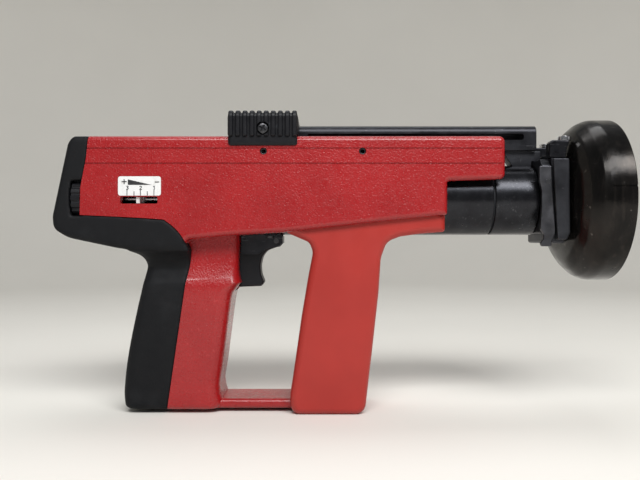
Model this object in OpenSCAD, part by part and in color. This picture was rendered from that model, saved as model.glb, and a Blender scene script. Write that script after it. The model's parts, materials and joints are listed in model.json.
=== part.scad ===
// Powder-actuated nail gun with a strip channel in its grip, a sliding barrel and a bell-shaped
// spall shield. X runs along the barrel axis towards the muzzle, Z is up, the grip hangs down and
// the origin is on the barrel axis at the working face. Millimetres.

/* [Casing] */
// Width of the casing over the barrel
casing_w = 56; // [54:1:60]
// Height of the casing's top above the barrel axis
casing_top = 37.3; // [36:0.1:39]
// Thickness of the casing's and grip's walls
wall = 3; // [2.5:0.5:3.5]
// Width of the grip
grip_w = 41; // [39:1:44]
// Depth of the grip's foot below the barrel axis
grip_depth = 128.5; // [126:0.5:130]
// Width of the front guard
guard_w = 48; // [46:1:48]
// Thickness of the rubber over the grip's core
rubber_t = 3; // [2.5:0.5:3.5]

/* [Barrel] */
// Outer diameter of the barrel
barrel_d = 43.8; // [43:0.1:44]
// Outer diameter of the barrel's tail
tail_d = 32; // [30:1:33]
// Bore that the piston head runs in
cylinder_d = 22; // [20:1:24]
// Bore of the nosepiece, for the fastener's washer
nose_bore_d = 8.2; // [8.1:0.1:8.4]
// How far the barrel is pressed in before the tool can fire
press_stroke = 12; // [8:1:12]

/* [Shield] */
// Diameter of the shield's rim
shield_d = 100.6; // [96:0.2:104]
// Thickness of the shield's wall
shield_t = 3; // [2.5:0.5:4]

/* [Slide] */
// Width of the slide bar
bar_w = 16; // [14:1:16]
// Width of the slide handle
knob_w = 62; // [61:1:66]
// Number of ribs on the slide handle
knob_ribs = 10; // [6:1:12]

/* [Power setting] */
// Diameter of the power wheel
wheel_d = 26; // [24:1:26]
// Number of knurls on the power wheel
wheel_knurls = 18; // [12:1:24]

/* [Hidden] */
$fn = 48;

casing_y = casing_w / 2;
cavity_y = casing_y - 3.5;
core_y = casing_y - rubber_t;
rear_cavity_y = core_y - wall;
grip_y = grip_w / 2;
neck_y = grip_y - 3;
grip_cavity_y = neck_y - wall;
guard_y = guard_w / 2;
barrel_r = barrel_d / 2;
tail_r = tail_d / 2;
barrel_gap = 0.5;
cut = 1;
fit = 0.05;
gap = 0.1;

// Barrel stations along X
tail_x = -246;
shoulder_x = -205;
chamber_x = tail_x + 8;
brake_x = -177;
buffer_x = -171;
throat_x = -164;
joint_x = -74;
joint_half = 0.6;
collar_x = -46.7;
piston_x = -236;
rod_r = 4;

// Power wheel axis
wheel_y = -15.5;
wheel_x = [-329.1, -323.8];
spindle_r = 2.5;

// Trigger, sear and pawl pivots, in X and Z or Y and Z
trigger_at = [-207.5, -25.7];
sear_at = [-265, -28];
pawl_at = [13, 20];
pawl_pin_r = 1.2;
trigger_y = 7;
pin_r = 1.5;

// Strip channel that runs up through the grip
strip_x = [-272, -259];
strip_y = 9;
strip_in_x = [-270.5, -260.5];
strip_in_y = 6.2;

// Cross pins and slide
cross_at = [[-214, 28], [-154.8, 28]];
cross_r = 2.1;
bar_z = [30.8, 46.7];
bar_x = [-232, -44.7];
bar_t = 2;
knob_x = [-235.5, -193.3];
knob_z = [30.6, 52.4];
handle_screw_at = [-214.3, 41.4];
rivet_at = [[-60.5, 33.5], [-50, 33.5]];

// Nosepiece, latch pivot and the screws on the shield holder's clip
nose_r = 10;
latch_at = [-43.8, 10];
clip_screw_at = [-31, 18];
clip_top = 35.6;

// Screw up through the front guard, and the two that hold the trigger bracket
guard_screw_x = -192.5;
bracket_screw_at = [-211, 14];

// Housing screws: X, Z and the half width of the wall under the head
SCREWS = [[-296, 27, casing_y], [-236, 27, casing_y], [-132, 27, casing_y], [-84, 27, casing_y],
    [-307, -15, core_y], [-250, -85, grip_y], [-285, -88, neck_y], [-253, -118, grip_y]];
boss_r = 3.2;

// Edge of the red casing against the rubber cover, from the top down and forward
rubber_line = [[-316.7, casing_top], [-319.9, 23.9], [-323.3, 6.3], [-323.7, -10.1],
    [-279.3, -12.4], [-271.6, -14.3], [-264, -21.2], [-259.4, -29.7], [-259.1, -33.6],
    [-259.8, -40.9], [-262, -51.8], [-274.2, -grip_depth]];
casing_line = [for (i = [0 : 6]) rubber_line[i]];

// Outline of the red casing, seen from the side
casing_outline = concat(casing_line, [[-260.6, -24.8], [-231.8, -22.1], [-200.6, -20.5],
    [-144, -14.2], [-103.7, -9.9], [-103.7, 10.2], [-69.2, 11.5],
    [-69.2, casing_top - 3], [-72.2, casing_top]]);

// Top and half width of the bar that ties the grip's foot to the front guard
bar_top = -122.8;
tie_y = 16;

// Outline of the grip's red front, from the casing down to the foot
grip_front = [[-229.9, -18], [-230.1, -30], [-230.7, -43.4], [-229, -51.3], [-233.8, -56.7],
    [-235.2, -63.4], [-240.4, -103.6], [-242, -114], [-241, -119.4], [-236, bar_top],
    [-236, -grip_depth]];
grip_outline = concat(grip_front, [[-274.2, -grip_depth], [-262, -51.8], [-259.8, -40.9],
    [-259.1, -33.6], [-259.4, -18]]);

// Outer edge of the rubber cover, from the top back and down to the foot
cover_edge = [[-328, casing_top], [-331.2, 33.4], [-340.9, -11.9], [-340.6, -16.5],
    [-338, -20], [-331.4, -23.5], [-321.4, -26.5], [-302.3, -29.7], [-289.5, -31.6],
    [-286.4, -35.5], [-287.2, -44], [-292.3, -66], [-296.9, -88.3], [-300.2, -113],
    [-300.6, -121], [-297.5, -126.6], [-292, -grip_depth]];

// Outline of the core under the rubber, as half width core_y behind and neck_y in the grip
rear_core = [[-318, -6], [-318, -22.6], [-302.5, -26.3], [-284, -28.7], [-270, -28],
    [-262, -20], [-262, -6]];
grip_core = [[-284.4, -20], [-284, -44], [-289, -66], [-293.6, -88.3], [-297, -113],
    [-297.4, -121], [-294, -125], [-246, -125], [-244, -108], [-238, -62], [-233, -50],
    [-233, -20]];
grip_cavity = [[-234.5, -17], [-234.5, -50], [-238.5, -62], [-245.5, -110], [-246, -121.5],
    [-293, -121.5], [-290, -88.3], [-285.5, -66], [-281, -44], [-281.8, -30], [-284, -27],
    [-289.5, -25.2], [-295, -22.5], [-295, -17]];

// Front guard, seen from the side
guard_outline = [[-200.7, -20.6], [-186.2, -26.9], [-184.5, -31.1], [-187.4, -47.4],
    [-191.4, -71.5], [-196.6, -107.7], [-198.3, -119.2], [-197.6, -128.4], [-195, -130.8],
    [-157, -130.8], [-153.4, -128.6], [-151.9, -123.7], [-147.8, -86], [-144.6, -57.1],
    [-143.4, -39.3], [-141.7, -30.4], [-138.1, -26], [-131.6, -23.2], [-119.9, -21.5],
    [-104.2, -20.3], [-104.2, -10.1], [-123, -9], [-144, -11.2], [-196, -17]];

// A plate that stands in the X-Z plane, from y0 to y1
module slab(y0, y1) {
    translate([0, y1, 0]) rotate([90, 0, 0]) linear_extrude(y1 - y0) children();
}

// A box given by its ranges
module block(x, y, z) {
    translate([x[0], y[0], z[0]]) cube([x[1] - x[0], y[1] - y[0], z[1] - z[0]]);
}

// A round bar along X, about y and z
module rod_x(x0, x1, r, y = 0, z = 0) {
    translate([x0, y, z]) rotate([0, 90, 0]) cylinder(h = x1 - x0, r = r);
}

// A round bar along Y, about a point given as X and Z
module rod_y(y0, y1, r, at = [0, 0]) {
    translate([at[0], y1, at[1]]) rotate([90, 0, 0]) cylinder(h = y1 - y0, r = r);
}

// A tube along X
module tube_x(x0, x1, r_out, r_in) {
    difference() {
        rod_x(x0, x1, r_out);
        rod_x(x0 - cut, x1 + cut, r_in);
    }
}

// A coil spring along Z, of centre radius r, from height 0 to len
function coil_point(a, s, r, wire, len, turns) =
    let (turn = 360 * turns * a, side = 360 * s, out = r + wire * cos(side))
    [out * cos(turn), out * sin(turn), wire + (len - 2 * wire) * a + wire * sin(side)];
module coil(r, wire, len, turns, steps = 12, sides = 6) {
    rings = turns * steps;
    points = [for (i = [0 : rings], k = [0 : sides - 1])
        coil_point(i / rings, k / sides, r, wire, len, turns)];
    walls = [for (i = [0 : rings - 1], k = [0 : sides - 1])
        let (n = (k + 1) % sides, a = i * sides, b = a + sides)
        [a + k, b + k, b + n, a + n]];
    ends = [[for (k = [0 : sides - 1]) k],
        [for (k = [sides - 1 : -1 : 0]) rings * sides + k]];
    polyhedron(points = points, faces = concat(walls, ends));
}
module coil_x(x0, x1, r, wire, turns, y = 0, z = 0) {
    translate([x0, y, z]) rotate([0, 90, 0]) coil(r, wire, x1 - x0, turns);
}

// Outer shape of the right half, before it is hollowed
module half_solid() {
    slab(-casing_y, 0) polygon(casing_outline);
    slab(-core_y, 0) polygon(rear_core);
    difference() {
        slab(-grip_y, 0) polygon(grip_outline);
        block([-262, -228], [-grip_y - cut, -neck_y], [-50.5, -22.1]);
    }
    slab(-neck_y, 0) polygon(grip_core);
    block([-245, -188], [-tie_y, 0], [-grip_depth, bar_top]);
}

// Space inside the right half
module half_cavity() {
    block([-258, -60], [-cavity_y, cut], [-19, casing_top - wall]);
    block([-316, -258], [-rear_cavity_y, cut], [-19.5, casing_top - wall]);
    slab(-grip_cavity_y, cut) polygon(grip_cavity);
    rod_x(-246, -60, barrel_r + barrel_gap);
    // Open floor over the front guard
    block([-202, -60], [-cavity_y, cut], [-40, 0]);
    // Channel in the roof for the slide bar
    block([bar_x[0] - press_stroke - 4, -60], [-bar_w / 2 - 0.5, cut], [30, casing_top + cut]);
    // Strip channel, through the roof and the foot
    block([strip_x[0] - gap, strip_x[1] + gap], [-strip_y - gap, cut], [-grip_depth - cut, 40]);
    // Trigger opening in the casing's floor and the neck
    block([-236, -201], [-trigger_y - 0.5, cut], [-57, -15]);
}

// Screw bosses, blind in the right half and open in the left one
module bosses(hole_r, sink) {
    for (s = SCREWS) difference() {
        rod_y(-s[2] + 0.5, 0, boss_r, [s[0], s[1]]);
        rod_y(sink ? -s[2] - cut : -14, cut, hole_r, [s[0], s[1]]);
    }
}

// One half of the housing, drawn as the right one
module half(hole_r, sink) {
    difference() {
        half_solid();
        half_cavity();
        for (p = cross_at) rod_y(-casing_y - cut, cut, cross_r + fit, p);
        rod_x(-330, -310, spindle_r + fit, wheel_y, 0);
        translate([guard_screw_x, 0, -140]) cylinder(h = 20, r = pin_r + fit);
        for (s = SCREWS) rod_y(sink ? -s[2] - cut : -14, cut, hole_r, [s[0], s[1]]);
        if (sink) for (s = SCREWS) rod_y(-s[2] - cut, -s[2] + 2.5, 3.1, [s[0], s[1]]);
    }
    difference() {
        bosses(hole_r, sink);
        if (sink) for (s = SCREWS) rod_y(-s[2] - cut, -s[2] + 2.5, 3.1, [s[0], s[1]]);
    }
}

// Two fine grooves along the side
module side_grooves() {
    for (z = [20.2, 29.2]) block([-330, -60], [-casing_y - cut, -casing_y + 0.5], [z, z + 0.9]);
}

module housing_right() {
    color("firebrick") difference() {
        half(1.55, false);
        side_grooves();
        // Pocket for the scale plate and the window under it
        slab(-casing_y - cut, -casing_y + 0.8) plate_outline(gap);
        block([-299.5, -277.2], [-casing_y - cut, -10], [-3.4, 0.9]);
    }
}

module housing_left() {
    color("firebrick") mirror([0, 1, 0]) difference() {
        half(1.8, true);
        side_grooves();
        rod_x(-330, -310, spindle_r + cut, wheel_y, 0);
        // Seat for the sear pin
        rod_y(-17, -10, pin_r + fit, sear_at);
    }
}

// Outline of the rubber cover behind the casing, and of its part over the grip
module cover_outline() {
    polygon(concat([for (i = [11 : -1 : 0]) rubber_line[i]], cover_edge));
}

module grip_cover() {
    color("darkslategray") difference() {
        union() {
            intersection() {
                slab(-casing_y, casing_y) cover_outline();
                block([-345, -250], [-40, 40], [-31, 40]);
            }
            intersection() {
                slab(-grip_y, grip_y) cover_outline();
                block([-345, -250], [-40, 40], [-130, -30]);
            }
        }
        slab(-core_y, core_y) polygon(rear_core);
        slab(-neck_y, neck_y) polygon(grip_core);
        slab(-grip_y - cut, grip_y + cut) polygon(grip_outline);
        block([strip_x[0] - gap, strip_x[1] + gap], [-strip_y - gap, strip_y + gap], [-135, 40]);
        rod_x(-330.1, -320, wheel_d / 2 + 0.5, wheel_y, 0);
        block([-329.6, -322], [-casing_y - cut, -20], [-10.6, 10.6]);
    }
}

module front_guard() {
    color("tomato") difference() {
        slab(-guard_y, guard_y) polygon(guard_outline);
        slab(-guard_y + wall, guard_y - wall) intersection() {
            offset(delta = -wall) polygon(guard_outline);
            translate([-210, -127]) square([110, 100]);
        }
        block([-206, -100], [-guard_y + wall, guard_y - wall], [-29, 0]);
        rod_x(-210, -100, barrel_r + barrel_gap);
        block([-201, -185], [-tie_y - gap, tie_y + gap], [-grip_depth - gap, bar_top + gap]);
        translate([guard_screw_x, 0, -140]) cylinder(h = 14, r = 1.8);
        translate([guard_screw_x, 0, -140]) cylinder(h = 11.4, r = 3.6);
    }
}

// Pan head screw along +Y, head on the left
module side_screw(at, y_head, y_tip, head_r, shank_r) {
    difference() {
        rod_y(y_head - 2, y_head, head_r, at);
        for (a = [0, 90]) translate([at[0], y_head, at[1]]) rotate([0, a, 0])
            cube([head_r * 1.2, 2, 0.8], center = true);
    }
    rod_y(y_tip, y_head - 2, shank_r, at);
}

module housing_screws() {
    color("dimgray") for (s = SCREWS) side_screw([s[0], s[1]], s[2] - 0.4, -12, 2.9, pin_r);
}

module cross_pins() {
    color("dimgray") for (p = cross_at) difference() {
        rod_y(-casing_y + 1.8, casing_y - 1.8, cross_r, p);
        rod_y(-casing_y, casing_y, cross_r - 0.8, p);
    }
}

module guard_screw() {
    color("dimgray") difference() {
        translate([guard_screw_x, 0, 0]) union() {
            translate([0, 0, -grip_depth - 1.9]) cylinder(h = 1.8, r = 3.2);
            translate([0, 0, -grip_depth - 0.2]) cylinder(h = 4.2, r = pin_r);
        }
        for (a = [0, 90]) translate([guard_screw_x, 0, -grip_depth - 1.9]) rotate([0, 0, a])
            cube([4, 0.8, 1.8], center = true);
    }
}

// Rounded outline of the scale plate
module plate_outline(more = 0) {
    offset(r = 1.5 + more) translate([-299.4, 2.8]) square([22.8, 8.7]);
}

module scale_plate() {
    color("white") slab(-casing_y + 0.1, -casing_y + 0.8) plate_outline();
}

module rear_plate() {
    color("gray") difference() {
        block([-316, -312], [-rear_cavity_y + gap, rear_cavity_y - gap], [-19.4, 34.2]);
        rod_x(-320, -310, spindle_r + fit, wheel_y, 0);
    }
}

module breech_plate() {
    color("gray") difference() {
        rod_x(-277, strip_x[0] - fit, 20.5);
        rod_x(-280, -270, 2 + fit);
        rod_x(-280, -270, spindle_r + fit, wheel_y, 0);
        block([-280, -270], [9.4, 30], [-30, 30]);
    }
}

module pin_housing() {
    color("gray") difference() {
        tube_x(-311.9, -277.1, 9.5, 6);
        block([-294, -286], [-3.2, 3.2], [-12, 0]);
    }
}

module strip_guide() {
    color("silver") difference() {
        union() {
            block(strip_x, [-strip_y, strip_y], [-grip_depth, casing_top]);
            // Ears for the pawl pin
            for (x = [[-272, -270.7], [-261.3, -259]]) block(x, [8.5, 15], [17, 23]);
        }
        block(strip_in_x, [-strip_in_y, strip_in_y], [-140, 50]);
        rod_x(-265, -250, 7.2);
        rod_x(-280, -265, 3);
        block([-269.5, -262.5], [0, strip_y + cut], [6.8, 13.5]);
        rod_x(-280, -250, pawl_pin_r + fit, pawl_at[0], pawl_at[1]);
    }
}

module guide_saddle() {
    color("goldenrod") difference() {
        tube_x(-118, -104.5, cavity_y - gap, barrel_r + fit);
        block([-120, -100], [-30, 30], [-30, -6]);
    }
}

module spring_seat() {
    color("gray") difference() {
        block([-243, -240], [-cavity_y + gap, cavity_y - gap], [-17.5, 23.5]);
        rod_x(-250, -230, tail_r + 0.3);
    }
}

// Two cheeks under the casing, joined at the front, that carry the trigger
module trigger_bracket() {
    cheek = [[-229.3, -22.2], [-204.2, -20.9], [-203.4, -26.5], [-206, -29.3], [-214, -30.6],
        [-219, -34], [-229.5, -34]];
    color("black") difference() {
        union() {
            for (s = [-1, 1]) slab(s * 8.5 - 0.9, s * 8.5 + 0.9) polygon(cheek);
            block([-204.6, -203.4], [-9.4, 9.4], [-27, -22.6]);
            for (s = [-1, 1]) block([-214, -208], [s * 13 - 4, s * 13 + 4], [-22.8, -21.6]);
        }
        rod_y(-20, 20, pin_r + fit, trigger_at);
        for (s = [-1, 1]) translate([bracket_screw_at[0], s * bracket_screw_at[1], -30])
            cylinder(h = 12, r = 1.3);
    }
}

module bracket_screws() {
    color("dimgray") for (s = [-1, 1]) translate([bracket_screw_at[0], s * bracket_screw_at[1], 0]) {
        translate([0, 0, -24]) cylinder(h = 1.2, r = 2.4);
        translate([0, 0, -22.9]) cylinder(h = 1.8, r = 1.2);
    }
}

module trigger_pin() {
    color("silver") rod_y(-9.6, 9.6, pin_r, trigger_at);
}

module sear_pin() {
    color("silver") rod_y(9.6, 16.8, pin_r, sear_at);
}

module pawl_pin() {
    color("silver") rod_x(-273, -258.4, pawl_pin_r, pawl_at[0], pawl_at[1]);
}

module contact_spring() {
    color("silver") coil_x(-239.9, -213.1, 18.4, 1.1, 5);
}

module trigger_spring() {
    color("silver") coil_x(-258.9, -232.8, 2.6, 0.45, 8, 0, -46);
}

module firing_spring() {
    color("silver") coil_x(-311.8, -292.1, 4, 0.7, 7);
}

module sear_spring() {
    color("silver") translate([sear_at[0], 14.4, sear_at[1]]) rotate([90, 0, 0])
        coil(2.5, 0.18, 1.3, 2);
}

module pawl_spring() {
    color("silver") translate([-266, 24.4 - 2.5, -1]) rotate([90, 0, 0]) coil(2.2, 0.35, 8.9, 5);
}

module trigger() {
    outline = [[-205.2, -23.4], [-217, -24.6], [-231, -26], [-240, -27.6], [-241, -31],
        [-236, -33.5], [-232.4, -36], [-231, -54.6], [-217, -54], [-215.2, -51.6],
        [-217.2, -46.5], [-217.6, -41], [-216.4, -35.5], [-213.6, -31.8], [-206, -28.9],
        [-204.6, -27]];
    color("black") difference() {
        union() {
            slab(-trigger_y, trigger_y) offset(r = 0.5) offset(delta = -0.5) polygon(outline);
            rod_y(trigger_y - cut, 13.4, 2, [-238, -30.3]);
        }
        rod_y(-10, 10, pin_r + fit, trigger_at);
    }
}

// Lever beside the strip guide: the trigger lifts its front, its tooth drops at the rear
module sear() {
    plate = [[-236, -27.7], [-236, -24.5], [-258, -22.8], [-268, -22.8], [-283, -13],
        [-286, -10], [-291, -10], [-291, -14], [-286, -19], [-272, -31], [-258, -32],
        [-245, -27.7]];
    color("gray") difference() {
        union() {
            slab(10, 13) polygon(plate);
            block([-290.5, -287.5], [-2.5, 11], [-13.5, -10]);
            block([-290.5, -288.5], [-2.5, 2.5], [-11, -6.4]);
        }
        rod_y(5, 20, pin_r + fit, sear_at);
    }
}

module feed_pawl() {
    color("gray") difference() {
        union() {
            block([-270, -262], [10.2, 12.6], [-4, 18]);
            rod_x(-270, -262, 2.4, pawl_at[0], pawl_at[1]);
            block([-270, -262], [10.6, 12.6], [16, 20]);
            block([-268.5, -263.5], [5.2, 11], [9, 12]);
        }
        rod_x(-280, -250, pawl_pin_r + fit, pawl_at[0], pawl_at[1]);
    }
}

module firing_pin() {
    color("silver") {
        rod_x(-284.5, -272.6, 2);
        rod_x(-292, -284, 6 - fit);
        rod_x(-300, -291.5, 1.6);
    }
}

module power_wheel() {
    color("black") difference() {
        rod_x(wheel_x[0], wheel_x[1], wheel_d / 2, wheel_y, 0);
        for (i = [0 : wheel_knurls - 1]) translate([0, wheel_y, 0]) rotate([i * 360 / wheel_knurls, 0, 0])
            rod_x(wheel_x[0] - cut, wheel_x[1] + cut, 1.2, 0, wheel_d / 2 + 0.5);
        rod_x(wheel_x[0] - cut, wheel_x[1] + cut, spindle_r + fit, wheel_y, 0);
    }
}

module wheel_spindle() {
    color("silver") rod_x(wheel_x[0], -274, spindle_r, wheel_y, 0);
}

// Nut on the spindle with a pointer behind the window
module power_indicator() {
    color("white") difference() {
        union() {
            rod_x(-291.3, -287.3, 4.4, wheel_y, 0);
            block([-290.3, -288.3], [-26.4, wheel_y], [-3.1, 0.6]);
        }
        rod_x(-300, -280, spindle_r + fit, wheel_y, 0);
    }
}

module contact_sleeve() {
    color("silver") tube_x(-213, shoulder_x - 0.3, 21.5, tail_r + fit);
}

module barrel() {
    color("dimgray") difference() {
        union() {
            rod_x(tail_x - 6, tail_x + cut, 6.5);
            rod_x(tail_x, shoulder_x + cut, tail_r);
            rod_x(shoulder_x, joint_x - joint_half, barrel_r);
        }
        rod_x(tail_x - 10, chamber_x + cut, 3.5);
        rod_x(chamber_x, throat_x, cylinder_d / 2);
        rod_x(throat_x - cut, -60, 6);
    }
}

module barrel_collar() {
    color("dimgray") tube_x(joint_x + joint_half, collar_x, barrel_r, rod_r + 1);
}

module joint_ring() {
    color("black") tube_x(joint_x - joint_half, joint_x + joint_half, barrel_r - 1.1, 6.5);
}

module brake_ring() {
    color("silver") tube_x(brake_x, buffer_x, cylinder_d / 2 - gap, 4.8);
}

module buffer() {
    color("black") tube_x(buffer_x, throat_x, cylinder_d / 2 - gap, 5.2);
}

module nose_plate() {
    outline = [[-20.5, -21], [20.5, -21], [23.8, -17], [23.8, 20], [19.8, 24], [-19.8, 24],
        [-23.8, 20], [-23.8, -17]];
    color("dimgray") difference() {
        translate([collar_x + gap, 0, 0]) rotate([90, 0, 90]) linear_extrude(5.4) polygon(outline);
        rod_x(-50, -40, nose_r + fit);
        rod_y(-30, -10, pin_r + fit, latch_at);
    }
}

module nosepiece() {
    color("silver") difference() {
        union() {
            rod_x(collar_x + gap, -14, nose_r);
            translate([-14, 0, 0]) rotate([0, 90, 0]) cylinder(h = 3, r1 = nose_r, r2 = 8);
            rod_x(-11, 0, 7.5);
        }
        rod_x(-60, cut, nose_bore_d / 2);
    }
}

module shield_holder() {
    side = [[-40.9, 24.4], [-31, 24.4], [-30.6, -20.8], [-33, -27], [-40.9, -27]];
    wing = [[-38.7, 23.8], [-31.4, 23.8], [-30.9, -20.6], [-32.8, -25], [-38.7, -25]];
    lip = [[-41.4, 23.8], [-38, 23.8], [-38, -20.4], [-38.9, -20.4]];
    color("darkslategray") difference() {
        union() {
            slab(-24, 24) polygon(side);
            // Wings in front of the latch, with a lip over its edge
            slab(-29.2, 29.2) polygon(wing);
            for (s = [-1, 1]) slab(s * 28.4 - 0.8, s * 28.4 + 0.8) polygon(lip);
        }
        rod_x(-50, -20, nose_r + fit);
    }
}

// Bridge over the holder with a post at each side
module top_clip() {
    post = [[-41.3, 24.5], [-31.2, 24.5], [-30.6, 30], [-28.4, clip_top], [-40, clip_top],
        [-41.3, clip_top - 1.6]];
    color("black") {
        for (s = [-1, 1]) slab(s * clip_screw_at[1] - 4, s * clip_screw_at[1] + 4) polygon(post);
        block([-40.9, -32], [-15, 15], [24.5, 27.5]);
    }
}

module clip_screws() {
    color("silver") for (s = [-1, 1])
        translate([clip_screw_at[0], s * clip_screw_at[1], clip_top]) difference() {
            cylinder(h = 2.4, r = 3.8);
            translate([0, 0, 2.4]) cube([9, 0.9, 1.8], center = true);
        }
}

// Plate that joins the slide bar to the barrel's collar
module slide_lug() {
    side = [[-64, 28.5], [-64, 36.5], [-47, 36.5], [-47, 30.7], [-41.2, 30.7], [-41.2, 24.2],
        [-46.9, 24.2], [-46.9, 15], [-55, 15]];
    color("black") difference() {
        slab(-5, 5) polygon(side);
        rod_x(-70, -40, barrel_r + fit);
        for (p = rivet_at) rod_y(-10, 10, pin_r + fit, p);
    }
}

module lug_rivets() {
    color("dimgray") for (p = rivet_at) rod_y(-7.95, 7.95, pin_r, p);
}

module slide_bar() {
    y = bar_w / 2;
    color("black") difference() {
        block(bar_x, [-y, y], bar_z);
        block([bar_x[0] - cut, bar_x[1] + cut], [-y + bar_t, y - bar_t], [0, bar_z[1] - bar_t]);
        // Long slot in the right side, with a round front end
        slab(-y - cut, 0) {
            translate([-188, 37.5]) square([133.5, 3.9]);
            translate([-54.5, 39.45]) circle(r = 1.95);
        }
        for (p = rivet_at) rod_y(-10, 10, pin_r + fit, p);
        rod_y(-10, 10, 2, handle_screw_at);
    }
}

module slide_handle() {
    pitch = (knob_x[1] - knob_x[0]) / knob_ribs;
    y = knob_w / 2;
    color("black") difference() {
        slab(-y, y) offset(r = 2) offset(delta = -2)
            translate([knob_x[0], knob_z[0]]) square([knob_x[1] - knob_x[0], knob_z[1] - knob_z[0]]);
        block([-240, -190], [-casing_y - 0.5, casing_y + 0.5], [20, casing_top + 0.6]);
        block([-240, -190], [-bar_w / 2 - fit, bar_w / 2 + fit], [20, bar_z[1] + fit]);
        for (i = [1 : knob_ribs - 1]) {
            x = knob_x[0] + i * pitch;
            for (s = [-1, 1]) block([x - 0.8, x + 0.8], [s * y - 1.2, s * y + 1.2], [36, 60]);
            block([x - 0.8, x + 0.8], [-y - cut, y + cut], [knob_z[1] - 1.2, 60]);
        }
        for (s = [-1, 1]) {
            rod_y(s * 30.5 - 2.5, s * 30.5 + 2.5, 3.8, handle_screw_at);
            rod_y(s * 16 - 12.5, s * 16 + 12.5, 2, handle_screw_at);
        }
    }
}

module handle_screws() {
    color("dimgray") for (s = [0, 1]) mirror([0, s, 0])
        side_screw(handle_screw_at, 30, bar_w / 2 - 1.5, 3.5, 1.9);
}

module latch_pin() {
    color("silver") rod_y(-27.1, -14, pin_r, latch_at);
}

module latch_spring() {
    color("silver") translate([latch_at[0], -23.83, -8]) rotate([90, 0, 0])
        coil(1.6, 0.15, 0.55, 1);
}

module latch_lever() {
    outline = [[-49.1, 19.4], [-41.5, 19.4], [-41.3, 10], [-40.1, -8], [-39.2, -18],
        [-39.4, -21.5], [-41.4, -25.5], [-41.6, -29], [-47.6, -29], [-48.4, -27],
        [-46.8, -25], [-46.4, -21.5], [-48.2, -18.5], [-48.3, -15], [-47.6, -5],
        [-47.6, 5], [-49.1, 11]];
    color("gray") difference() {
        slab(-27.2, -24.4) polygon(outline);
        rod_y(-30, -20, pin_r + fit, latch_at);
    }
}

module piston() {
    color("silver") difference() {
        union() {
            rod_x(piston_x, piston_x + 10, cylinder_d / 2 - fit);
            rod_x(piston_x + 9, -50, rod_r);
        }
        for (x = [2.5, 6]) tube_x(piston_x + x, piston_x + x + 1.5, 14, 9.5);
    }
}

module piston_rings() {
    color("gray") for (x = [2.5, 6])
        tube_x(piston_x + x + 0.1, piston_x + x + 1.4, cylinder_d / 2 - fit, 9.6);
}

// Half section of the shield: outer edge from the rim to the back, then the inner edge
module shield() {
    r = shield_d / 2;
    t = shield_t;
    outer = [[r, 0], [r, -13], [r - 1.3, -16.3], [r - 3.3, -19.6], [r - 7, -23.5],
        [r - 12.3, -27.3], [r - 18.3, -29.5], [26, -30.3]];
    inner = [[14, -30.3 + t], [26, -30.3 + t], [r - 19.5, -29.6 + t], [r - 14.5, -27 + t],
        [r - 9.3, -21.5], [r - 6, -18.2], [r - 4.2, -15], [r - t, -11], [r - t, 0]];
    hub = [[10.1, -30.3], [10.1, -18], [14, -18]];
    color("saddlebrown") rotate([0, 90, 0]) rotate_extrude($fn = 96)
        polygon(concat(outer, hub, inner));
}

module shield_ring() {
    color("black") tube_x(-26.9, -23, 17.5, 14.05);
}

housing_right();
housing_left();
grip_cover();
front_guard();
housing_screws();
cross_pins();
guard_screw();
scale_plate();
rear_plate();
breech_plate();
pin_housing();
strip_guide();
guide_saddle();
spring_seat();
trigger_bracket();
bracket_screws();
trigger_pin();
sear_pin();
pawl_pin();
contact_spring();
trigger_spring();
firing_spring();
sear_spring();
pawl_spring();
trigger();
sear();
feed_pawl();
firing_pin();
power_wheel();
wheel_spindle();
power_indicator();
contact_sleeve();
barrel();
barrel_collar();
joint_ring();
brake_ring();
buffer();
nose_plate();
nosepiece();
shield_holder();
top_clip();
clip_screws();
slide_lug();
lug_rivets();
slide_bar();
slide_handle();
handle_screws();
latch_pin();
latch_spring();
piston();
piston_rings();
latch_lever();
shield();
shield_ring();
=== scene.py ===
import json
import math

import bmesh
import bpy
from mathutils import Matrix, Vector


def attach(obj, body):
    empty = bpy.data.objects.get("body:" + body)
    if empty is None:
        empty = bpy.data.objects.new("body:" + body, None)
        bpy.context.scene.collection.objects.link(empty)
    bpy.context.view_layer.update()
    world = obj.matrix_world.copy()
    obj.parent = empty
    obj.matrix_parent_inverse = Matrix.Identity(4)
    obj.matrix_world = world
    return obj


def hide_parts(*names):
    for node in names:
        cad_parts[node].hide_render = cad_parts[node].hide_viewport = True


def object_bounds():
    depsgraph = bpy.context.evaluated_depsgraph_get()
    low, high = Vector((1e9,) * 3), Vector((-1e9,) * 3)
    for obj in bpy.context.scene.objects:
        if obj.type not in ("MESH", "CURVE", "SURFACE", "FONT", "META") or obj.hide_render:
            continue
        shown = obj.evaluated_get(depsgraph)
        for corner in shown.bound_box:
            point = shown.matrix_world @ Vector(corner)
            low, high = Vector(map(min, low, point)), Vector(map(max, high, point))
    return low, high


# Looks of a powder-actuated nail gun, built round its CAD frame.
# The helpers take millimetres in the frame's axes; meshes are made in metres.

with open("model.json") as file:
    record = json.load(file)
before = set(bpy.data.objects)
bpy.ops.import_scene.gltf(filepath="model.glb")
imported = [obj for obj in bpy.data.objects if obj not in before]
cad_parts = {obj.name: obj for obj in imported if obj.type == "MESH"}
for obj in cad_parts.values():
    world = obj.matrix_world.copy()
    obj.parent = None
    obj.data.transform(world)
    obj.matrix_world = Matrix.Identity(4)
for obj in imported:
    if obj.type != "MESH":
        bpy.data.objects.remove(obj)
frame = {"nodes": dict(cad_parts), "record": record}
cad_low, cad_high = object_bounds()
MM = 0.001
scene = bpy.context.scene

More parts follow.
